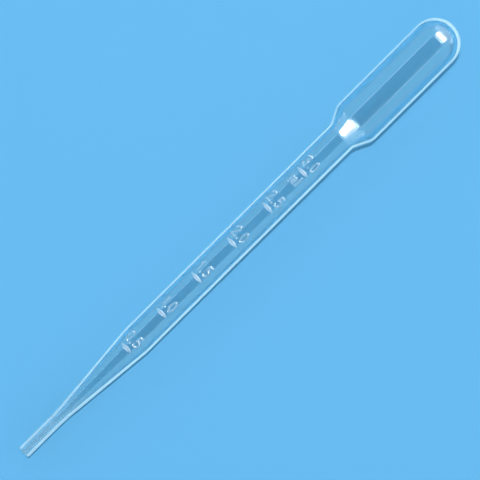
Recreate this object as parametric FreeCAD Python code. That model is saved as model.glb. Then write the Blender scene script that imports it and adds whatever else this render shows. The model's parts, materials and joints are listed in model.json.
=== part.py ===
import FreeCAD, Part

import math
import os

# A graduated transfer pipette of 3 ml, blow moulded in one piece from low-density polyethylene:
# a drawn-out tip, a round stem with raised graduation bars, and a squeeze bulb closed by a dome.
# It is drawn upright, with its mouth at the origin and the bulb above, and then laid down along
# +X on the plane Z = 0, where it rests on the foot of the stem and on the shoulder of the bulb.
# Lengths are in millimetres, angles in degrees. A station is a distance from the mouth.

# Outside, from the mouth to the bulb
tip_radius = 1.7
tip_length = 12.9
taper_length = 27.5
stem_radius = 4.15
stem_length = 74.4
shoulder_length = 4.8
bulb_radius = 6.5
bulb_length = 28.9

# Walls
tip_wall = 0.85
stem_wall = 0.61
shoulder_wall = 0.7
bulb_wall = 0.57
dome_wall = 1.0

# Radii, on the outside, where one stretch runs into the next
tip_blend = 60.0
foot_blend = 30.0
neck_blend = 1.8
shoulder_blend = 4.5

# Graduation: raised bars, one for each step of volume in the bore of the stem
bar_count = 6
volume_step = 500.0
first_bar = 37.85
bar_width = 4.9
bar_thickness = 1.5
bar_height = 0.2

# How far the graduation is rolled from straight up, towards +Y, as the pipette lies
lying_roll = 8.0

# Derived stations, radii and slopes
foot = tip_length + taper_length
neck = foot + stem_length
bulb_start = neck + shoulder_length
dome_start = bulb_start + bulb_length
tip_bore = tip_radius - tip_wall
stem_bore = stem_radius - stem_wall
bulb_bore = bulb_radius - bulb_wall
taper_slope = math.atan2(stem_radius - tip_radius, taper_length)
shoulder_slope = math.atan2(bulb_radius - stem_radius, shoulder_length)
bar_pitch = volume_step / (math.pi * stem_bore**2)

origin = FreeCAD.Vector(0, 0, 0)
axis = FreeCAD.Vector(0, 0, 1)
across = FreeCAD.Vector(0, 1, 0)


def at(radius, station):
    """Point of the half section through the axis."""
    return FreeCAD.Vector(radius, 0, station)


outside_corners = [
    at(tip_radius, 0),
    at(tip_radius, tip_length),
    at(stem_radius, foot),
    at(stem_radius, neck),
    at(bulb_radius, bulb_start),
    at(bulb_radius, dome_start),
]


def rounded_run(corners, blends):
    """Lines from the first corner to the last, with an arc of its blend radius at each between."""
    edges = []
    start = corners[0]
    for before, corner, after, blend in zip(corners, corners[1:], corners[2:], blends):
        back = (before - corner).normalize()
        on = (after - corner).normalize()
        half_angle = back.getAngle(on) / 2
        reach = blend / math.tan(half_angle)
        inward = (back + on).normalize()
        middle = corner + inward * (blend / math.sin(half_angle) - blend)
        arc_start = corner + back * reach
        arc_end = corner + on * reach
        edges.append(Part.makeLine(start, arc_start))
        edges.append(Part.Arc(arc_start, middle, arc_end).toShape())
        start = arc_end
    edges.append(Part.makeLine(start, corners[-1]))
    return edges


def domed_solid(corners, blends):
    """Solid of revolution from a flat bottom up the corners, closed by a half sphere."""
    bottom, top = corners[0], corners[-1]
    dome_middle = at(top.x * math.sin(math.pi / 4), top.z + top.x * math.cos(math.pi / 4))
    pole = at(0, top.z + top.x)
    base = at(0, bottom.z)
    edges = rounded_run(corners, blends)
    edges.append(Part.Arc(top, dome_middle, pole).toShape())
    edges.append(Part.makeLine(pole, base))
    edges.append(Part.makeLine(base, bottom))
    return Part.Face(Part.Wire(edges)).revolve(origin, axis, 360)


def blank():
    """The pipette filled solid, as the mould shapes it."""
    return domed_solid(outside_corners, [tip_blend, foot_blend, neck_blend, shoulder_blend])


def shoulder_rise(side_wall):
    """How far above the outside's corner the cavity turns, next to a side wall this thick."""
    return (shoulder_wall - side_wall * math.cos(shoulder_slope)) / math.sin(shoulder_slope)


def cavity():
    """The air inside, from below the open mouth up to the inner dome."""
    inner_dome_start = dome_start + bulb_radius - dome_wall - bulb_bore
    corners = [
        at(tip_bore, -tip_radius),
        at(tip_bore, tip_length),
        at(stem_bore, foot),
        at(stem_bore, neck + shoulder_rise(stem_wall)),
        at(bulb_bore, bulb_start + shoulder_rise(bulb_wall)),
        at(bulb_bore, inner_dome_start),
    ]
    blends = [
        tip_blend + tip_wall,
        foot_blend - stem_wall,
        neck_blend + stem_wall,
        shoulder_blend - bulb_wall,
    ]
    return domed_solid(corners, blends)


def outside_radius(station):
    """Radius of the outside at a station, with the corners taken as sharp."""
    for low, high in zip(outside_corners, outside_corners[1:]):
        if station <= high.z:
            share = (station - low.z) / (high.z - low.z)
            return low.x + share * (high.x - low.x)
    return bulb_radius


def graduation_bar(station):
    """Raised bar around the front of the stem, with a rounded crown and round ends.

    Its root reaches into the wall, and the part of it inside the bore goes with the cavity.
    """
    surface = outside_radius(station)
    crown_radius = ((bar_thickness / 2) ** 2 + bar_height**2) / (2 * bar_height)
    sweep = math.degrees((bar_width - bar_thickness) / surface)
    bead_centre = at(surface + bar_height - crown_radius, station)
    section = Part.Face(Part.Wire(Part.makeCircle(crown_radius, bead_centre, across)))
    bead = section.revolve(origin, axis, sweep)
    end = Part.makeSphere(crown_radius, bead_centre, across)
    far_end = end.copy()
    far_end.rotate(origin, axis, sweep)
    bar = bead.fuse([end, far_end])
    bar.rotate(origin, axis, 180 - sweep / 2)
    return bar


def upright_pipette():
    """Finished pipette standing on its mouth, with the graduation facing -X."""
    bars = [graduation_bar(first_bar + number * bar_pitch) for number in range(bar_count)]
    return blank().fuse(bars).cut(cavity())


def rest_lift_and_tilt():
    """Height of the mouth's centre and rise of the axis, in radians, as the pipette lies.

    The plane it lies on is tangent to the arc at the foot of the stem and to the arc between
    shoulder and bulb. Each arc has its centre at the station where its straight side begins.
    """
    foot_station = foot + foot_blend * math.tan(taper_slope / 2)
    bulb_station = bulb_start + shoulder_blend * math.tan(shoulder_slope / 2)
    run = bulb_station - foot_station
    rise = (bulb_radius - shoulder_blend) - (stem_radius - foot_blend)
    tilt = math.atan2(rise, run) + math.asin((shoulder_blend - foot_blend) / math.hypot(rise, run))
    foot_drop = foot_station * math.sin(tilt) + (foot_blend - stem_radius) * math.cos(tilt)
    return foot_blend - foot_drop, tilt


def lay_down(shape):
    """Turn the upright pipette onto its side, with the middle of its footprint at the origin."""
    lift, tilt = rest_lift_and_tilt()
    mouth_end = -tip_radius * math.sin(tilt)
    dome_end = dome_start * math.cos(tilt) + bulb_radius
    shape.rotate(origin, axis, -lying_roll)
    shape.rotate(origin, across, 90 - math.degrees(tilt))
    shape.translate(FreeCAD.Vector(-(mouth_end + dome_end) / 2, 0, lift))
    return shape


os.makedirs("parts", exist_ok=True)
pipette = lay_down(upright_pipette())
pipette.exportStep("parts/pipette.step")
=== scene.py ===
import cmath
import json
import math

import bmesh
import bpy
import numpy as np
from bpy.props import FloatProperty, FloatVectorProperty, IntProperty, PointerProperty
from bpy.types import Operator, Panel, PropertyGroup
from mathutils import Matrix, Vector


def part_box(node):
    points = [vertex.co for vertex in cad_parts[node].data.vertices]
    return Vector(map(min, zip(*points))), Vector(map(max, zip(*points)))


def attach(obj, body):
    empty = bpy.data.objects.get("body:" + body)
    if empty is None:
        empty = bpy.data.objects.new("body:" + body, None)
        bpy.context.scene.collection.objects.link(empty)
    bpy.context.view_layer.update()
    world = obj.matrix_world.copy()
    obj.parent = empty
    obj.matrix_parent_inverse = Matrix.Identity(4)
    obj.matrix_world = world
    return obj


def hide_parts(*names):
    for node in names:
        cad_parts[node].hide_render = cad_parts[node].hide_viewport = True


bl_info = {
    "name": "Transfer Pipette",
    "version": (1, 0, 0),
    "blender": (4, 5, 0),
    "location": "3D View > Sidebar > Pipette",
    "description": "Builds a see-through moulded dropper pipette and the studio it lies in",
    "category": "Add Mesh",
}

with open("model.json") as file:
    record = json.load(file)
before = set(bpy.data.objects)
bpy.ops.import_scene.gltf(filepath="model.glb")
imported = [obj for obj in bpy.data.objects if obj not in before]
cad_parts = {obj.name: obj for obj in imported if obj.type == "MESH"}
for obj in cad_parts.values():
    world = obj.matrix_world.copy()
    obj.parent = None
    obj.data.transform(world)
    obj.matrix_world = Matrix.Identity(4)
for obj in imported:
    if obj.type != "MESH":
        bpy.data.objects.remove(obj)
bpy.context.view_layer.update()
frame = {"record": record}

NODE = "pipette"
BODY = "root"
# A millimetre in metres and a millilitre in cubic metres
MM, ML = 0.001, 1e-6
SIDE = Vector((0, 1, 0))

# Places of the finishes among the shell's materials, after the outside's
INSIDE, BAR, FIGURE = 1, 2, 3
# A face is part of a mark where each corner is higher on its crown than this share
CROWN = 0.04
# A point of the shell no deeper than this is on its outside
SKIN = 0.2 * MM
# Points of the shell nearer to each other than this are one
WELD = 0.001 * MM

# Attribute on the outside: how far from head on, 0 to 1, a ray still passes through the bore.
# It is lowest where the wall is thickest for its radius.
LINE = "line"
THICK_LINE, MIDDLING_LINE, THIN_LINE = 0.14, 0.3, 0.48
# Thickness of the wall seen edge on, as a share of the even wall: on average, and how much it
# gains towards -Y and loses towards +Y. The wall itself is even: the lean only widens the painted
# edge highlight, and the band where the floor's light is lost, towards -Y.
SEEN_WALL, PAINTED_EDGE_LEAN = 0.98, 0.12
# The painted edge highlight, a white line where the wall is seen edge on: its finish, and how far
# from head on it would be full if it began head on
EDGE_HIGHLIGHT_FINISH = {"Base Color": (0.8, 0.97, 1, 1), "Roughness": 0.35}
FULL_LINE = 0.15
# Light for the floor is lost from this share of the attribute on, and lost most this far from
# head on. The loss changes from the -Y side to the +Y side within this distance of the middle.
LOSS_START, LOSS_FULL = 0.75, 0.7
MIDDLE = 1 * MM

# Noise of the flow lines and of the milky clouds: its scale along and across the pipette, its
# detail and its roughness
FLOW_NOISE = ((35, 1100, 1100), 3.0, 0.55)
CLOUD_NOISE = ((90, 260, 260), 4.0, 0.6)
# Levels of the clouds' noise up to which the plastic is clear and from which it is cloudy
CLEAR_LEVEL, CLOUDY_LEVEL = 0.3, 0.7
PLASTIC_IOR = 1.51
# Coat of the smooth plastic, and how that of the bars and of the figures differs
GLOSSY_COAT = {"Coat Weight": 1.0, "Coat Roughness": 0.04}
HAZY_COAT = {"Coat Weight": 0.35, "Coat Roughness": 0.3}
FROSTED_COAT = {"Coat Weight": 0.8, "Coat Roughness": 0.07}
# Roughness of the bars and of the figures, where they are clear and where they are cloudy
HAZY_ROUGHNESS = (0.3, 0.4)
FROSTED_ROUGHNESS = (0.2, 0.3)

FLOOR_RADIUS, FLOOR_CORNERS = 3.4, 128
# The floor lies this far below the pipette, so that their faces never share a plane
FLOOR_GAP = 0.02 * MM
FLOOR_FINISH = {"Roughness": 0.9, "Specular IOR Level": 0.1}
# Heights in the sky, from 0 at eye level to 1 overhead, between which its brightness changes
SKY_HEIGHTS = (0.36, 0.45)
# Distances in metres: of the softboxes over the ends, of the lamps overhead, of the side
# softboxes, and the length of those
END_DISTANCE, TOP_DISTANCE, SIDE_DISTANCE = 1.1, 1.3, 3.5
SIDE_LENGTH = 9.6
WHITE = (1, 1, 1)
# The camera's sensor in millimetres, and the nearest and furthest it sees in metres
SENSOR_WIDTH = 36
CLIP_START, CLIP_END = 0.01, 20


def mount(name):
    """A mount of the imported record, by its name."""
    return next(m for m in frame["record"]["mounts"] if m["name"] == name)


def mount_radius(name):
    """Radius of a round mount, in metres."""
    return mount(name)["dims"]["r_mm"] * MM


MOUTH = Vector(mount("tip_outside")["pos_m"])
ALONG = -Vector(mount("tip_outside")["axis"]).normalized()
BOX_LOW, BOX_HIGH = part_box(NODE)


def length_property(name, description, default):
    """A length in metres with its name and what it is."""
    return FloatProperty(
        name=name, description=description, default=default, min=0, unit="LENGTH", precision=5
    )


class PipetteShape(PropertyGroup):
    """Sizes of the moulded shell."""

    tip_length: length_property("Tip length", "Straight drawn-out tip", 12.9 * MM)
    taper_length: length_property("Taper length", "From the tip to the stem", 27.5 * MM)
    stem_length: length_property("Stem length", "Straight graduated tube", 74.4 * MM)
    shoulder_length: length_property("Shoulder length", "Cone from stem to bulb", 4.8 * MM)
    bulb_radius: length_property("Bulb radius", "Outside of the bulb and its dome", 6.5 * MM)
    bulb_length: length_property("Bulb length", "Straight side of the bulb", 28.9 * MM)
    stem_wall: length_property("Stem wall", "Thickness of the stem's wall", 0.61 * MM)
    shoulder_wall: length_property("Shoulder wall", "Thickness of the shoulder", 0.7 * MM)
    bulb_wall: length_property("Bulb wall", "Thickness of the bulb's side", 0.57 * MM)
    dome_wall: length_property("Dome wall", "Thickness at the top of the dome", 1.0 * MM)
    tip_blend: length_property("Tip blend", "Radius between tip and taper", 60 * MM)
    foot_blend: length_property("Foot blend", "Radius between taper and stem", 30 * MM)
    neck_blend: length_property("Neck blend", "Radius between stem and shoulder", 1.8 * MM)
    shoulder_blend: length_property("Shoulder blend", "Radius between shoulder and bulb", 4.5 * MM)
    rim_round: length_property("Rim rounding", "Radius on both edges of the mouth", 0.13 * MM)
    ring_steps: IntProperty(
        name="Ring steps",
        description="Faces around the plain side of the shell",
        default=72,
        min=12,
    )


class PipetteMarks(PropertyGroup):
    """Sizes of the raised graduation."""

    bar_count: IntProperty(name="Bars", description="Number of graduation bars", default=6, min=1)
    volume_step: FloatProperty(
        name="Volume step", description="Volume between two bars, in ml", default=0.5, min=0.05
    )
    first_bar: length_property("First bar", "From the mouth to the first bar", 37.85 * MM)
    bar_width: length_property("Bar width", "Length of a bar around the stem", 4.9 * MM)
    bar_thickness: length_property("Bar thickness", "Width of a bar in its middle", 1.35 * MM)
    bar_tip: length_property("Bar tip", "Width of a bar at either end", 0.4 * MM)
    bar_rise: length_property("Bar rise", "How far a bar stands proud", 0.2 * MM)
    figure_rise: length_property("Figure rise", "How far a figure's line stands proud", 0.18 * MM)
    figure_height: length_property("Figure height", "Height of a figure", 2.8 * MM)
    figure_space: length_property("Figure space", "Between one figure and the next", 0.8 * MM)
    figure_gap: length_property("Figure gap", "From a bar's centre to a figure's foot", 1.62 * MM)
    stroke_width: length_property("Stroke width", "Width of a figure's raised line", 0.7 * MM)
    unit_drop: length_property("Unit drop", "From the last bar down to the unit's foot", 3.9 * MM)
    lying_roll: FloatProperty(
        name="Roll",
        description="How far the graduation is rolled towards +Y",
        default=math.radians(8),
        subtype="ANGLE",
    )
    grid: length_property("Grid", "Size of the faces that carry the marks", 0.105 * MM)


class PipettePlastic(PropertyGroup):
    """Finish of the see-through plastic."""

    tint: FloatVectorProperty(
        name="Tint", description="Colour of the plastic", default=(0.86, 0.95, 0.965),
        subtype="COLOR", min=0, max=1,
    )
    cloud_tint: FloatVectorProperty(
        name="Cloud tint", description="Colour of its milky clouds", default=(0.79, 0.905, 0.94),
        subtype="COLOR", min=0, max=1,
    )
    gloss_roughness: FloatProperty(
        name="Glossy roughness", description="Roughness where it shines most", default=0.03,
        subtype="FACTOR", min=0, max=1,
    )
    haze_roughness: FloatProperty(
        name="Hazy roughness", description="Roughness where it is haziest", default=0.11,
        subtype="FACTOR", min=0, max=1,
    )
    flow_depth: length_property("Flow depth", "Depth of the flow lines along it", 0.0006 * MM)
    clearness: FloatProperty(
        name="Clearness", description="Share of the light that a face seen head on lets through",
        default=0.985, subtype="FACTOR", min=0, max=1,
    )
    edge_clearness: FloatProperty(
        name="Edge clearness",
        description="Share that a face seen edge on lets through, towards -Y",
        default=0.0, subtype="FACTOR", min=0, max=1,
    )
    far_edge_clearness: FloatProperty(
        name="Far edge clearness",
        description="Share that a face seen edge on lets through, towards +Y",
        default=0.85, subtype="FACTOR", min=0, max=1,
    )
    coat_ior: FloatProperty(
        name="Surface gloss", description="IOR of the glossy outside", default=1.6, min=1, max=3
    )
    # Edge line, thick edge line and far edge line set the painted white highlight on walls seen
    # edge on
    line_strength: FloatProperty(
        name="Edge line", description="Whiteness of the wall seen edge on, towards -Y",
        default=1.0, subtype="FACTOR", min=0, max=1,
    )
    thick_line_strength: FloatProperty(
        name="Thick edge line", description="Share of that whiteness where the wall is thickest",
        default=0.5, subtype="FACTOR", min=0, max=1,
    )
    thick_haze: FloatProperty(
        name="Thick haze", description="Milkiness of the thickest wall", default=0.05,
        subtype="FACTOR", min=0, max=1,
    )
    # Strength of the painted edge highlight towards +Y
    far_line_strength: FloatProperty(
        name="Far edge line", description="Whiteness of the wall seen edge on, towards +Y",
        default=0.64, subtype="FACTOR", min=0, max=1,
    )
    bar_clearness: FloatProperty(
        name="Bar clearness", description="How see-through the raised bars are", default=0.86,
        subtype="FACTOR", min=0, max=1,
    )
    figure_clearness: FloatProperty(
        name="Figure clearness", description="How see-through the raised figures are", default=0.82,
        subtype="FACTOR", min=0, max=1,
    )


class PipetteStudio(PropertyGroup):
    """Floor, light and camera."""

    floor_colour: FloatVectorProperty(
        name="Floor", description="Colour of the floor", default=(0.12, 0.4, 0.68),
        subtype="COLOR", min=0, max=1,
    )
    key_power: FloatProperty(
        name="Key", description="Brightness of the key softbox's face", default=12, min=0
    )
    key_colour: FloatVectorProperty(
        name="Key colour", description="Colour of the softboxes over the ends",
        default=(1, 0.94, 0.93), subtype="COLOR", min=0, max=1,
    )
    haze_power: FloatProperty(
        name="Haze", description="Brightness of the wide softbox behind it", default=1.0, min=0
    )
    tail_power: FloatProperty(
        name="Tail", description="Brightness of the strip below the key", default=2.8, min=0
    )
    sheen_power: FloatProperty(
        name="Sheen", description="Brightness of the strip almost overhead", default=0.5, min=0
    )
    fill_power: FloatProperty(
        name="Fill", description="Brightness of the side softboxes' faces", default=0.62, min=0
    )
    fill_colour: FloatVectorProperty(
        name="Fill colour", description="Colour of the side softboxes", default=(0.42, 0.83, 1.0),
        subtype="COLOR", min=0, max=1,
    )
    spot_power: FloatProperty(
        name="Spot", description="Brightness of the lamp that draws the shadow", default=630, min=0
    )
    wash_power: FloatProperty(
        name="Wash", description="Side light on the walls' edges and the floor", default=0.6, min=0
    )
    wash_colour: FloatVectorProperty(
        name="Wash colour", description="Colour of the side light", default=(0.85, 0.97, 1.0),
        subtype="COLOR", min=0, max=1,
    )
    strip_power: FloatProperty(
        name="Strip", description="Brightness of the strip along each softbox", default=2.0, min=0
    )
    sky_colour: FloatVectorProperty(
        name="Sky colour", description="Colour all around the studio", default=(0.6, 0.87, 1.0),
        subtype="COLOR", min=0, max=1,
    )
    sky: FloatProperty(name="Sky", description="Brightness overhead", default=0.12, min=0)
    horizon: FloatProperty(
        name="Horizon", description="Brightness at eye level", default=0.66, min=0
    )
    camera_place: FloatVectorProperty(
        name="Camera", description="Where the camera hangs", default=(0.27 * MM, -0.47 * MM, 0.8),
        subtype="TRANSLATION", unit="LENGTH", precision=5,
    )
    view_width: length_property("View width", "Width that the camera takes in", 122.6 * MM)
    camera_turn: FloatProperty(
        name="Camera turn",
        description="Angle of the pipette across the view",
        default=math.radians(44.84),
        subtype="ANGLE",
    )


# Most degrees of an oval between two points of a figure's line
ARC_STEP = 15


def arc(centre, width, height, start, end):
    """Points along part of an oval, from one angle to another in degrees."""
    count = max(2, math.ceil(abs(end - start) / ARC_STEP))
    angles = np.radians(np.linspace(start, end, count + 1))
    return list(centre + width * np.cos(angles) + 1j * height * np.sin(angles))


# Raised figures, drawn with a round pen: the width of each and its strokes. A stroke is a run of
# points, x + 1j * y, in figure heights from the foot of the figure's left side.
FIGURES = {
    "0": (0.4, [arc(0.2 + 0.5j, 0.2, 0.5, 0, 360)]),
    "1": (0.16, [[0.78j, 0.16 + 1j, 0.16 + 0j]]),
    "2": (0.46, [arc(0.23 + 0.75j, 0.22, 0.25, 165, -40) + [0j, 0.46 + 0j]]),
    "3": (
        0.46,
        [arc(0.22 + 0.76j, 0.21, 0.24, 150, -90) + arc(0.22 + 0.27j, 0.24, 0.27, 90, -150)],
    ),
    "5": (
        0.48,
        [[0.44 + 1j, 0.08 + 1j, 0.05 + 0.55j] + arc(0.22 + 0.31j, 0.25, 0.31, 130, -145)],
    ),
    ".": (0.02, [[0j, 0.02j]]),
    "m": (
        0.5,
        [
            [0j, 0.6j],
            arc(0.125 + 0.43j, 0.125, 0.16, 180, 0) + [0.25 + 0j],
            arc(0.375 + 0.43j, 0.125, 0.16, 180, 0) + [0.5 + 0j],
        ],
    ),
    "l": (0.0, [[0j, 0.94j]]),
}


def rounded_run(corners, blends, steps):
    """Points from the first corner to the last, with an arc of its blend radius at each between.

    A point is radius + 1j * station.
    """
    points = [corners[0]]
    for before, corner, after, blend in zip(corners, corners[1:], corners[2:], blends):
        back = (before - corner) / abs(before - corner)
        on = (after - corner) / abs(after - corner)
        half = abs(cmath.phase(on / back)) / 2
        centre = corner + (back + on) / abs(back + on) * blend / math.sin(half)
        start = corner + back * blend / math.tan(half) - centre
        end = corner + on * blend / math.tan(half) - centre
        points += [centre + start * (end / start) ** (step / steps) for step in range(steps + 1)]
    return points + [corners[-1]]


def quarter_dome(radius, station, steps):
    """Points of a quarter circle from the wall up to the pole."""
    return [
        radius * cmath.exp(1j * math.pi / 2 * step / steps) + 1j * station
        for step in range(1, steps + 1)
    ]


class Profile:
    """Half section of the shell, worked out from the shape's sizes."""

    arc_steps = 14
    smooth_steps = 96
    dome_steps = 22
    plain_row = 2.4 * MM
    row_gap = 0.2 * MM

    def __init__(self, shape):
        self.shape = shape
        self.tip_radius = mount_radius("tip_outside")
        self.tip_bore = mount_radius("tip_bore")
        self.stem_radius = mount_radius("stem")
        self.stem_bore = self.stem_radius - shape.stem_wall
        self.bulb_bore = shape.bulb_radius - shape.bulb_wall
        self.foot = shape.tip_length + shape.taper_length
        self.neck = self.foot + shape.stem_length
        self.bulb_start = self.neck + shape.shoulder_length
        self.dome_start = self.bulb_start + shape.bulb_length
        self.slope = math.atan2(shape.bulb_radius - self.stem_radius, shape.shoulder_length)
        self.outer_corners = [
            self.tip_radius + 0j,
            self.tip_radius + 1j * shape.tip_length,
            self.stem_radius + 1j * self.foot,
            self.stem_radius + 1j * self.neck,
            shape.bulb_radius + 1j * self.bulb_start,
            shape.bulb_radius + 1j * self.dome_start,
        ]
        self.outer_blends = [
            shape.tip_blend, shape.foot_blend, shape.neck_blend, shape.shoulder_blend
        ]
        smooth = rounded_run(self.outer_corners, self.outer_blends, self.smooth_steps)
        self.smooth_radii = [point.real for point in smooth]
        self.smooth_stations = [point.imag for point in smooth]

    def outer_radius(self, station):
        """Radius of the outside at one or more stations below the dome."""
        return np.interp(station, self.smooth_stations, self.smooth_radii)

    def wall(self, station):
        """Thickness of the wall at a station."""
        shape = self.shape
        stations = [shape.tip_length, self.foot, self.neck, self.bulb_start, self.dome_start]
        tip_wall = self.tip_radius - self.tip_bore
        walls = [tip_wall, shape.stem_wall, shape.stem_wall, shape.bulb_wall, shape.bulb_wall]
        top = self.dome_start + shape.bulb_radius
        return np.interp(station, stations + [top], walls + [shape.dome_wall])

    def rise(self, side_wall):
        """How far above the outer corner the inner corner of the shoulder lies."""
        across = self.shape.shoulder_wall - side_wall * math.cos(self.slope)
        return across / math.sin(self.slope)

    def inside(self):
        """Points from the inner pole down to the mouth and over its rounded rim."""
        shape = self.shape
        inner_dome_start = self.dome_start + shape.bulb_wall - shape.dome_wall
        corners = [
            self.bulb_bore + 1j * inner_dome_start,
            self.bulb_bore + 1j * (self.bulb_start + self.rise(shape.bulb_wall)),
            self.stem_bore + 1j * (self.neck + self.rise(shape.stem_wall)),
            self.stem_bore + 1j * self.foot,
            self.tip_bore + 1j * shape.tip_length,
            self.tip_bore + 0j,
            self.tip_radius + 0j,
            self.tip_radius + 2j * shape.rim_round,
        ]
        blends = [
            shape.shoulder_blend - shape.bulb_wall,
            shape.neck_blend + shape.stem_wall,
            shape.foot_blend - shape.stem_wall,
            shape.tip_blend + self.tip_radius - self.tip_bore,
            shape.rim_round,
            shape.rim_round,
        ]
        dome = quarter_dome(self.bulb_bore, inner_dome_start, self.dome_steps)
        return dome[::-1] + rounded_run(corners, blends, self.arc_steps)

    def outside(self, dense_stations):
        """Points from above the rim up the outside to the outer pole."""
        run = rounded_run(self.outer_corners, self.outer_blends, self.arc_steps)
        lowest = 2 * self.shape.rim_round
        plain = np.arange(lowest, self.dome_start, self.plain_row)
        stations = np.concatenate([[point.imag for point in run], plain])
        clear = [
            station
            for station in stations
            if station > lowest and np.abs(dense_stations - station).min() > self.row_gap
        ]
        rows = np.unique(np.concatenate([clear, dense_stations, [self.dome_start]]))
        points = [complex(self.outer_radius(row), row) for row in rows]
        return points + quarter_dome(self.shape.bulb_radius, self.dome_start, self.dome_steps)


class Graduation:
    """Raised bars, figures and unit, as pen strokes on the unrolled outside of the stem.

    A place there is the distance across, from left to right, + 1j * station.
    """

    side_margin = 0.8 * MM

    def __init__(self, marks, profile):
        self.marks = marks
        bore_area = math.pi * profile.stem_bore**2
        pitch = marks.volume_step * ML / bore_area
        self.bars = [marks.first_bar + number * pitch for number in range(marks.bar_count)]
        self.bar_segments = []
        self.figure_segments = []
        half_bar = (marks.bar_width - marks.bar_thickness) / 2
        for number, station in enumerate(self.bars):
            middle = 1j * station
            for end in (-half_bar, half_bar):
                self.add_stroke([middle, middle + end], marks.bar_thickness, marks.bar_tip)
            reading = f"{(number + 1) * marks.volume_step:.1f}"
            self.add_word(reading, station + marks.figure_gap)
        self.add_word("ml", self.bars[-1] - marks.unit_drop)

    def add_stroke(self, points, width, end_width=None):
        """Keep the segments of one pen stroke. With an end width it is a bar, and narrows."""
        narrowing = width / 2 - (end_width or width) / 2
        segments = self.bar_segments if end_width else self.figure_segments
        segments += [(a, b, width / 2, narrowing) for a, b in zip(points, points[1:])]

    def add_word(self, word, foot):
        """Draw characters side by side, centred on the graduation."""
        marks = self.marks
        size = marks.figure_height
        widths = [size * FIGURES[character][0] for character in word]
        left = -(sum(widths) + marks.figure_space * (len(word) - 1)) / 2
        for character, width in zip(word, widths):
            for stroke in FIGURES[character][1]:
                points = [complex(left, foot) + size * point for point in stroke]
                self.add_stroke(points, marks.stroke_width)
            left += width + marks.figure_space

    def dense_stations(self):
        """Rows of faces fine enough for the marks, at every bar, figure and unit."""
        marks = self.marks
        margin = marks.stroke_width
        top = marks.figure_gap + marks.figure_height + margin
        rows = []
        for station in self.bars:
            below = marks.unit_drop if station == self.bars[-1] else marks.bar_thickness / 2
            low, high = station - below - margin, station + top
            rows.append(np.linspace(low, high, math.ceil((high - low) / marks.grid)))
        return np.concatenate(rows)

    def half_sector(self, radius):
        """Half the angle around the stem that the marks take."""
        return (self.marks.bar_width / 2 + self.side_margin) / radius

    @staticmethod
    def crowns(segments, places):
        """How high each of some places is on the rounded crown of the nearest stroke, 0 to 1."""
        crowns = np.zeros(len(places))
        for a, b, half_width, narrowing in segments:
            run = b - a
            share = np.clip(((places - a) * np.conj(run)).real / abs(run) ** 2, 0, 1)
            distance = np.abs(places - a - share * run) / (half_width - share**2 * narrowing)
            crowns = np.maximum(crowns, (1 + np.cos(math.pi * np.minimum(distance, 1))) / 2)
        return crowns


def lying_matrix(roll):
    """From the pipette upright on its mouth, marks facing +X, to where it lies in the frame."""
    top = ALONG.cross(SIDE)
    facing = math.cos(roll) * top + math.sin(roll) * SIDE
    rows = Matrix((facing, ALONG.cross(facing), ALONG)).transposed()
    return Matrix.Translation(MOUTH) @ rows.to_4x4()


def spun_shell(points, half_sector, fine_steps, ring_steps):
    """Closed shell spun from a half section, with narrow faces in the sector of the marks."""
    shell = bmesh.new()
    verts = [shell.verts.new((point.real, 0, point.imag)) for point in points]
    geom = verts + [shell.edges.new(pair) for pair in zip(verts, verts[1:])]
    turn = Matrix.Rotation(-half_sector, 3, "Z")
    bmesh.ops.rotate(shell, cent=(0, 0, 0), matrix=turn, verts=verts)
    for angle, steps in ((2 * half_sector, fine_steps), (math.tau - 2 * half_sector, ring_steps)):
        spin = bmesh.ops.spin(
            shell, geom=geom, cent=(0, 0, 0), axis=(0, 0, 1), angle=angle, steps=steps
        )
        geom = spin["geom_last"]
    bmesh.ops.remove_doubles(shell, verts=shell.verts, dist=WELD)
    bmesh.ops.recalc_face_normals(shell, faces=shell.faces)
    return shell


def raise_marks(shell, profile, graduation):
    """Push the outside of the wall out along the strokes of the graduation."""
    places = np.array([vert.co for vert in shell.verts])
    radii = np.hypot(places[:, 0], places[:, 1])
    angles = np.arctan2(places[:, 1], places[:, 0])
    sector = graduation.half_sector(profile.stem_radius)
    outer = profile.outer_radius(places[:, 2])
    near = (radii > outer - SKIN) & (np.abs(angles) < sector)
    near &= (places[:, 2] > profile.shape.tip_length) & (places[:, 2] < profile.neck)
    chosen = np.flatnonzero(near)
    spots = radii[chosen] * angles[chosen] + 1j * places[chosen, 2]
    bars = graduation.crowns(graduation.bar_segments, spots)
    figures = graduation.crowns(graduation.figure_segments, spots)
    shell.verts.ensure_lookup_table()
    kind = {}
    for index, bar, figure in zip(chosen, bars, figures):
        rise = max(bar * graduation.marks.bar_rise, figure * graduation.marks.figure_rise)
        shell.verts[index].co.xy *= 1 + rise / radii[index]
        if max(bar, figure) > CROWN:
            kind[shell.verts[index]] = FIGURE if figure > bar else BAR
    for face in shell.faces:
        kinds = [kind.get(vert, 0) for vert in face.verts]
        if min(kinds) > 0:
            face.material_index = max(kinds)


def mark_walls(shell, profile):
    """Give the inside its own material and note on the outside how wide the wall looks edge on."""
    shape = profile.shape
    line = shell.verts.layers.float.new(LINE)
    for vert in shell.verts:
        radius, station = math.hypot(vert.co.x, vert.co.y), vert.co.z
        if station > profile.dome_start:
            radius = math.hypot(radius, station - profile.dome_start)
        outer = float(profile.outer_radius(station))
        if radius > outer - SKIN:
            # The share is widened towards -Y for the painted edge highlight; the wall itself is
            # even
            sideways = vert.co.y / max(math.hypot(vert.co.x, vert.co.y), WELD)
            share = profile.wall(station) / outer * (SEEN_WALL + PAINTED_EDGE_LEAN * sideways)
            vert[line] = 1 - math.sqrt(1 - (1 - share) ** 2)
    for face in shell.faces:
        if max(vert[line] for vert in face.verts) == 0:
            face.material_index = INSIDE


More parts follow.
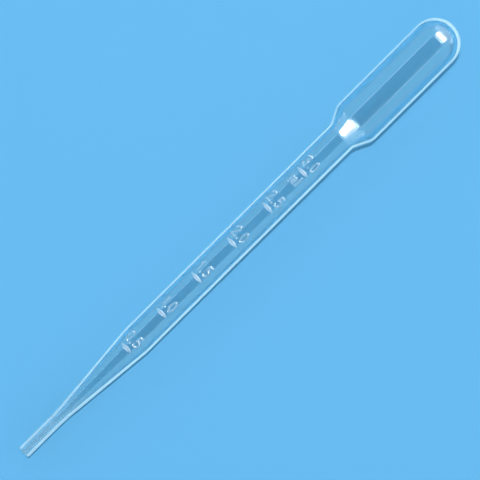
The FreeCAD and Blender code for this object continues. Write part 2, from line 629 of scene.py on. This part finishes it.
def finished_piece(name, shell, *materials):
    """Make a smooth mesh object of a bmesh and give it its materials."""
    mesh = bpy.data.meshes.new(name)
    shell.to_mesh(mesh)
    shell.free()
    mesh.shade_smooth()
    for material in materials:
        mesh.materials.append(material)
    piece = bpy.data.objects.new(name, mesh)
    bpy.context.scene.collection.objects.link(piece)
    return piece


def add_node(tree, kind, inputs=None, **settings):
    """Add a node with its settings, its input values and its links from other nodes' sockets."""
    node = tree.nodes.new(kind)
    for name, value in settings.items():
        setattr(node, name, value)
    for name, value in (inputs or {}).items():
        if isinstance(value, bpy.types.NodeSocket):
            tree.links.new(value, node.inputs[name])
        else:
            node.inputs[name].default_value = value
    return node


def empty_tree(data_block):
    """Switch a data block to nodes and clear them."""
    data_block.use_nodes = True
    data_block.node_tree.nodes.clear()
    return data_block.node_tree


def plastic_pattern():
    """Group for what shows in moulded polyethylene: flow lines along the pipette, milky clouds."""
    group = bpy.data.node_groups.new("moulded_plastic", "ShaderNodeTree")
    for name, kind in (
        ("Clear Colour", "NodeSocketColor"),
        ("Cloud Colour", "NodeSocketColor"),
        ("Clear Roughness", "NodeSocketFloat"),
        ("Cloud Roughness", "NodeSocketFloat"),
    ):
        group.interface.new_socket(name, in_out="INPUT", socket_type=kind)
    for name, kind in (
        ("Colour", "NodeSocketColor"),
        ("Roughness", "NodeSocketFloat"),
        ("Flow", "NodeSocketFloat"),
    ):
        group.interface.new_socket(name, in_out="OUTPUT", socket_type=kind)
    given = add_node(group, "NodeGroupInput").outputs
    place = add_node(group, "ShaderNodeTexCoord").outputs["Object"]
    noises = []
    for scale, detail, roughness in (FLOW_NOISE, CLOUD_NOISE):
        along = add_node(
            group,
            "ShaderNodeMapping",
            {"Vector": place, "Rotation": (0, math.asin(ALONG.z), 0), "Scale": scale},
        )
        pattern = {
            "Vector": along.outputs["Vector"],
            "Scale": 1.0,
            "Detail": detail,
            "Roughness": roughness,
        }
        noises.append(add_node(group, "ShaderNodeTexNoise", pattern).outputs["Fac"])
    flow, cloud = noises
    colour = add_node(
        group,
        "ShaderNodeMix",
        {"Factor": cloud, "A": given["Clear Colour"], "B": given["Cloud Colour"]},
        data_type="RGBA",
    )
    roughness = add_node(
        group,
        "ShaderNodeMapRange",
        {
            "Value": cloud,
            "From Min": CLEAR_LEVEL,
            "From Max": CLOUDY_LEVEL,
            "To Min": given["Clear Roughness"],
            "To Max": given["Cloud Roughness"],
        },
    )
    add_node(
        group,
        "NodeGroupOutput",
        {
            "Colour": colour.outputs["Result"],
            "Roughness": roughness.outputs["Result"],
            "Flow": flow,
        },
    )
    return group


def plastic_shader(tree, pattern, plastic, roughness_range, **inputs):
    """Shader of the plastic, with the moulded pattern at this roughness."""
    surface = add_node(
        tree,
        "ShaderNodeGroup",
        {
            "Clear Colour": (*plastic.tint, 1),
            "Cloud Colour": (*plastic.cloud_tint, 1),
            "Clear Roughness": roughness_range[0],
            "Cloud Roughness": roughness_range[1],
        },
        node_tree=pattern,
    )
    bump = add_node(
        tree,
        "ShaderNodeBump",
        {"Height": surface.outputs["Flow"], "Strength": 1.0, "Distance": plastic.flow_depth},
    )
    shader = add_node(
        tree,
        "ShaderNodeBsdfPrincipled",
        {
            "Base Color": surface.outputs["Colour"],
            "Roughness": surface.outputs["Roughness"],
            "Normal": bump.outputs["Normal"],
            "IOR": PLASTIC_IOR,
            **inputs,
        },
    )
    return shader.outputs["BSDF"]


def add_painted_edge_highlight(tree, plastic, body):
    """Mix in a painted white highlight where the wall is seen edge on, and milky haze on thick
    walls.
    """
    white = add_node(tree, "ShaderNodeBsdfPrincipled", EDGE_HIGHLIGHT_FINISH)
    facing = add_node(tree, "ShaderNodeLayerWeight", {"Blend": 0.5})
    start = add_node(tree, "ShaderNodeAttribute", attribute_name=LINE)
    full = add_node(
        tree, "ShaderNodeMapRange", {"Value": start.outputs["Fac"], "To Min": FULL_LINE}
    )
    normal = add_node(tree, "ShaderNodeNewGeometry").outputs["Normal"]
    side = add_node(tree, "ShaderNodeSeparateXYZ", {"Vector": normal})
    # Painted highlight: stronger on the -Y side of the shell than on the +Y side
    strength = add_node(
        tree,
        "ShaderNodeMapRange",
        {
            "Value": side.outputs["Y"],
            "From Min": -1.0,
            "From Max": 1.0,
            "To Min": plastic.line_strength,
            "To Max": plastic.far_line_strength,
        },
    )
    thick = {"Value": start.outputs["Fac"], "From Min": THICK_LINE}
    full_strength = add_node(
        tree,
        "ShaderNodeMapRange",
        {**thick, "From Max": THIN_LINE, "To Min": plastic.thick_line_strength},
    )
    haze = add_node(
        tree,
        "ShaderNodeMapRange",
        {**thick, "From Max": MIDDLING_LINE, "To Min": plastic.thick_haze, "To Max": 0.0},
    )
    line = add_node(
        tree,
        "ShaderNodeMath",
        {0: strength.outputs["Result"], 1: full_strength.outputs["Result"]},
        operation="MULTIPLY",
    )
    whitening = add_node(
        tree,
        "ShaderNodeMapRange",
        {
            "Value": facing.outputs["Facing"],
            "From Min": start.outputs["Fac"],
            "From Max": full.outputs["Result"],
            "To Min": haze.outputs["Result"],
            "To Max": line.outputs["Value"],
        },
        interpolation_type="SMOOTHSTEP",
    )
    mixed = add_node(
        tree,
        "ShaderNodeMixShader",
        {0: whitening.outputs["Result"], 1: body, 2: white.outputs["BSDF"]},
    )
    return mixed.outputs["Shader"]


def clearness_edge_on(tree, plastic):
    """How clear a face seen edge on is: less so towards -Y than towards +Y."""
    place = add_node(tree, "ShaderNodeTexCoord").outputs["Object"]
    side = add_node(tree, "ShaderNodeSeparateXYZ", {"Vector": place})
    clearness = add_node(
        tree,
        "ShaderNodeMapRange",
        {
            "Value": side.outputs["Y"],
            "From Min": -MIDDLE,
            "From Max": MIDDLE,
            "To Min": plastic.edge_clearness,
            "To Max": plastic.far_edge_clearness,
        },
    )
    return clearness.outputs["Result"]


def let_light_through(tree, plastic, surface, grazing):
    """Let the light for the floor pass straight through, but only this share where it grazes."""
    path = add_node(tree, "ShaderNodeLightPath")
    passing = add_node(
        tree,
        "ShaderNodeMath",
        {0: path.outputs["Is Shadow Ray"], 1: path.outputs["Is Diffuse Ray"]},
        operation="MAXIMUM",
    )
    facing = add_node(tree, "ShaderNodeLayerWeight", {"Blend": 0.5})
    start = add_node(tree, "ShaderNodeAttribute", attribute_name=LINE)
    edge = add_node(
        tree, "ShaderNodeMath", {0: start.outputs["Fac"], 1: LOSS_START}, operation="MULTIPLY"
    )
    loss = add_node(
        tree,
        "ShaderNodeMapRange",
        {
            "Value": facing.outputs["Facing"],
            "From Min": edge.outputs["Value"],
            "From Max": LOSS_FULL,
            "To Min": plastic.clearness,
            "To Max": grazing,
        },
        interpolation_type="SMOOTHSTEP",
    )
    through = add_node(tree, "ShaderNodeBsdfTransparent", {"Color": loss.outputs["Result"]})
    mixed = add_node(
        tree,
        "ShaderNodeMixShader",
        {0: passing.outputs["Value"], 1: surface, 2: through.outputs["BSDF"]},
    )
    return mixed.outputs["Shader"]


def plastic_materials(plastic):
    """Finishes of the outside, the inside, the bars and the figures."""
    smooth = (plastic.gloss_roughness, plastic.haze_roughness)
    coat = {"Coat IOR": plastic.coat_ior}
    bars = {"Transmission Weight": plastic.bar_clearness, **coat, **HAZY_COAT}
    figures = {"Transmission Weight": plastic.figure_clearness, **coat, **FROSTED_COAT}
    pattern = plastic_pattern()
    materials = []
    for name, roughness_range, inputs in (
        ("clear_outside", smooth, {"Transmission Weight": 1.0, **coat, **GLOSSY_COAT}),
        ("clear_inside", smooth, {"Transmission Weight": 1.0}),
        ("hazy_bars", HAZY_ROUGHNESS, bars),
        ("frosted_figures", FROSTED_ROUGHNESS, figures),
    ):
        material = bpy.data.materials.new(name)
        tree = empty_tree(material)
        surface = plastic_shader(tree, pattern, plastic, roughness_range, **inputs)
        grazing = plastic.clearness
        # Only the outside carries the painted edge highlight
        if name == "clear_outside":
            surface = add_painted_edge_highlight(tree, plastic, surface)
        if name != "clear_inside":
            grazing = clearness_edge_on(tree, plastic)
        surface = let_light_through(tree, plastic, surface, grazing)
        add_node(tree, "ShaderNodeOutputMaterial", {"Surface": surface})
        materials.append(material)
    return materials


class PIPETTE_OT_shell(Operator):
    """Mould the one-piece shell with its tip, stem, bulb and raised graduation"""

    bl_idname = "pipette.add_shell"
    bl_label = "Add pipette shell"

    def execute(self, context):
        scene = context.scene
        profile = Profile(scene.pipette_shape)
        graduation = Graduation(scene.pipette_marks, profile)
        half_sector = graduation.half_sector(profile.stem_radius)
        arc_length = 2 * half_sector * profile.stem_radius
        fine_steps = math.ceil(arc_length / scene.pipette_marks.grid)
        points = profile.inside() + profile.outside(graduation.dense_stations())
        shell = spun_shell(points, half_sector, fine_steps, scene.pipette_shape.ring_steps)
        raise_marks(shell, profile, graduation)
        mark_walls(shell, profile)
        lying = lying_matrix(scene.pipette_marks.lying_roll)
        bmesh.ops.transform(shell, matrix=lying, verts=shell.verts)
        piece = finished_piece("pipette_shell", shell, *plastic_materials(scene.pipette_plastic))
        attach(piece, BODY)
        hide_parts(NODE)
        return {"FINISHED"}


def toward(lean, turn):
    """Direction that leans from straight up, in degrees, turned from +X towards +Y."""
    lean, turn = math.radians(lean), math.radians(turn)
    level = math.sin(lean)
    return Vector((level * math.cos(turn), level * math.sin(turn), math.cos(lean)))


def softbox(name, direction, distance, size, brightness, colour, target):
    """Square or oblong area lamp that hangs in a direction from its target and faces it."""
    lamp = bpy.data.lights.new(name, "AREA")
    lamp.shape = "RECTANGLE"
    lamp.size, lamp.size_y = size
    lamp.energy = brightness * math.pi * size[0] * size[1]
    lamp.color = colour
    box = bpy.data.objects.new(name, lamp)
    box.location = target + direction.normalized() * distance
    box.rotation_euler = (-direction).to_track_quat("-Z", "Y").to_euler()
    box.visible_camera = False
    bpy.context.scene.collection.objects.link(box)
    return box


def panel(name, low, high, turn, distance, length, *finish):
    """Softbox that fills the leans from low to high, in degrees, and is level along its length."""
    half = math.radians(high - low) / 2
    size = (length, 2 * distance * math.tan(half))
    return softbox(name, toward((low + high) / 2, turn), distance, size, *finish)


class PIPETTE_OT_stage(Operator):
    """Lay the floor under the pipette and colour the sky around it"""

    bl_idname = "pipette.add_stage"
    bl_label = "Add stage"

    def execute(self, context):
        studio = context.scene.pipette_studio
        material = bpy.data.materials.new("pale_blue_floor")
        tree = empty_tree(material)
        shader = add_node(
            tree,
            "ShaderNodeBsdfPrincipled",
            {"Base Color": (*studio.floor_colour, 1), **FLOOR_FINISH},
        )
        add_node(tree, "ShaderNodeOutputMaterial", {"Surface": shader.outputs["BSDF"]})
        disc = bmesh.new()
        bmesh.ops.create_circle(
            disc, cap_ends=True, segments=FLOOR_CORNERS, radius=FLOOR_RADIUS
        )
        bmesh.ops.translate(disc, vec=(0, 0, BOX_LOW.z - FLOOR_GAP), verts=disc.verts)
        floor = finished_piece("floor", disc, material)

        world = bpy.data.worlds.new("studio_sky")
        context.scene.world = world
        tree = empty_tree(world)
        place = add_node(tree, "ShaderNodeTexCoord").outputs["Generated"]
        split = add_node(tree, "ShaderNodeSeparateXYZ", {"Vector": place})
        level = add_node(
            tree,
            "ShaderNodeMapRange",
            {
                "Value": split.outputs["Z"],
                "From Min": SKY_HEIGHTS[0],
                "From Max": SKY_HEIGHTS[1],
                "To Min": studio.horizon,
                "To Max": studio.sky,
            },
            interpolation_type="SMOOTHSTEP",
        )
        shader = add_node(
            tree,
            "ShaderNodeBackground",
            {"Color": (*studio.sky_colour, 1), "Strength": level.outputs["Result"]},
        )
        add_node(tree, "ShaderNodeOutputWorld", {"Surface": shader.outputs["Background"]})
        return {"FINISHED"}


# Softboxes that only show in the plastic's gloss: name, lean from and to and turn in degrees,
# ends towards +Y and -Y in metres, and the share of the key's brightness
HIGHLIGHTS = (
    ("key", 31, 50, 2, 0.475, -0.475, 1.0),
    ("shoulder_bright", 44, 57, 180, 0.6, -0.15, 1.35),
    ("shoulder_middling", 44, 57, 180, -0.15, -0.36, 0.22),
    ("shoulder_dim", 44, 57, 180, -0.36, -0.6, 0.1),
)
# Side softboxes: name, turn and the lean at which they start, in degrees
SIDES = (("left", 90, 34), ("right", -90, 38))
# In degrees: the lean at which they end, how much the bright strip below each takes, and the
# leans of the wash that lights the floor from each side
SIDE_END, STRIP_WIDTH = 66, 2
WASH_LEANS = (50, 88)
# Lamp that draws the shadow: lean and turn in degrees, size in metres
SPOT_LEAN, SPOT_TURN = 8, 45
SPOT_SIZE = (0.08, 0.08)


class PIPETTE_OT_lamps(Operator):
    """Hang the softboxes over the ends and along the sides, and the lamp that draws the shadow"""

    bl_idname = "pipette.add_lamps"
    bl_label = "Add lamps"

    def execute(self, context):
        studio = context.scene.pipette_studio
        target = (BOX_LOW + BOX_HIGH) / 2
        colour = studio.key_colour
        only_shine = []
        for name, lean, turn, distance, length, power in (
            ("key_tail", (50, 62), 2, END_DISTANCE, 1.0, studio.tail_power),
            ("sheen", (-13.4, -10.8), 0, TOP_DISTANCE, 0.7, studio.sheen_power),
        ):
            only_shine.append(panel(name, *lean, turn, distance, length, power, colour, target))
        for name, low, high, turn, start, end, share in HIGHLIGHTS:
            finish = (studio.key_power * share, colour, target + SIDE * (start + end) / 2)
            only_shine.append(panel(name, low, high, turn, END_DISTANCE, start - end, *finish))
        for lamp in only_shine:
            lamp.visible_diffuse = False
        panel("haze", 62, 84, 3, END_DISTANCE, 1.8, studio.haze_power, colour, target)
        spot = (TOP_DISTANCE, SPOT_SIZE, studio.spot_power, colour, target)
        only_light = [softbox("spot", toward(SPOT_LEAN, SPOT_TURN), *spot)]
        for side, turn, low in SIDES:
            along = (turn, SIDE_DISTANCE, SIDE_LENGTH)
            wash = (studio.wash_power, studio.wash_colour, target)
            fill = (studio.fill_power, studio.fill_colour, target)
            strip = (studio.strip_power, WHITE, target)
            only_light.append(panel("wash_" + side, *WASH_LEANS, *along, *wash))
            panel("fill_" + side, low, SIDE_END, *along, *fill)
            panel("strip_" + side, low - STRIP_WIDTH, low, *along, *strip)
        for lamp in only_light:
            lamp.visible_glossy = lamp.visible_transmission = False
        return {"FINISHED"}


class PIPETTE_OT_camera(Operator):
    """Put the camera straight above, with the pipette across the view"""

    bl_idname = "pipette.add_camera"
    bl_label = "Add camera"

    def execute(self, context):
        studio = context.scene.pipette_studio
        data = bpy.data.cameras.new("camera")
        data.sensor_width = SENSOR_WIDTH
        distance = studio.camera_place[2] - (BOX_LOW.z + BOX_HIGH.z) / 2
        data.lens = data.sensor_width * distance / studio.view_width
        data.clip_start, data.clip_end = CLIP_START, CLIP_END
        camera = bpy.data.objects.new("camera", data)
        camera.location = studio.camera_place
        camera.rotation_euler = (0, 0, -studio.camera_turn)
        context.scene.collection.objects.link(camera)
        context.scene.camera = camera
        context.scene.view_settings.view_transform = "Standard"
        return {"FINISHED"}


class PIPETTE_PT_sidebar(Panel):
    """Pipette tools in the sidebar of the 3D view"""

    bl_idname = "PIPETTE_PT_sidebar"
    bl_label = "Transfer Pipette"
    bl_space_type = "VIEW_3D"
    bl_region_type = "UI"
    bl_category = "Pipette"

    def draw(self, context):
        for group, operators in STEPS:
            box = self.layout.box()
            settings = getattr(context.scene, group)
            for name in settings.__annotations__:
                box.prop(settings, name)
            for operator in operators:
                box.operator(operator.bl_idname)


STEPS = (
    ("pipette_shape", ()),
    ("pipette_marks", ()),
    ("pipette_plastic", (PIPETTE_OT_shell,)),
    ("pipette_studio", (PIPETTE_OT_stage, PIPETTE_OT_lamps, PIPETTE_OT_camera)),
)
GROUPS = {
    "pipette_shape": PipetteShape,
    "pipette_marks": PipetteMarks,
    "pipette_plastic": PipettePlastic,
    "pipette_studio": PipetteStudio,
}
OPERATORS = (PIPETTE_OT_shell, PIPETTE_OT_stage, PIPETTE_OT_lamps, PIPETTE_OT_camera)
CLASSES = (*GROUPS.values(), *OPERATORS, PIPETTE_PT_sidebar)


def register():
    """Register the classes and hang the settings on the scene."""
    for cls in CLASSES:
        bpy.utils.register_class(cls)
    for name, group in GROUPS.items():
        setattr(bpy.types.Scene, name, PointerProperty(type=group))


def unregister():
    """Take the settings and the classes away again."""
    for name in GROUPS:
        delattr(bpy.types.Scene, name)
    for cls in reversed(CLASSES):
        bpy.utils.unregister_class(cls)


def main():
    """Register the classes and build everything in order."""
    register()
    bpy.ops.pipette.add_shell()
    bpy.ops.pipette.add_stage()
    bpy.ops.pipette.add_lamps()
    bpy.ops.pipette.add_camera()


if __name__ == "__main__":
    main()
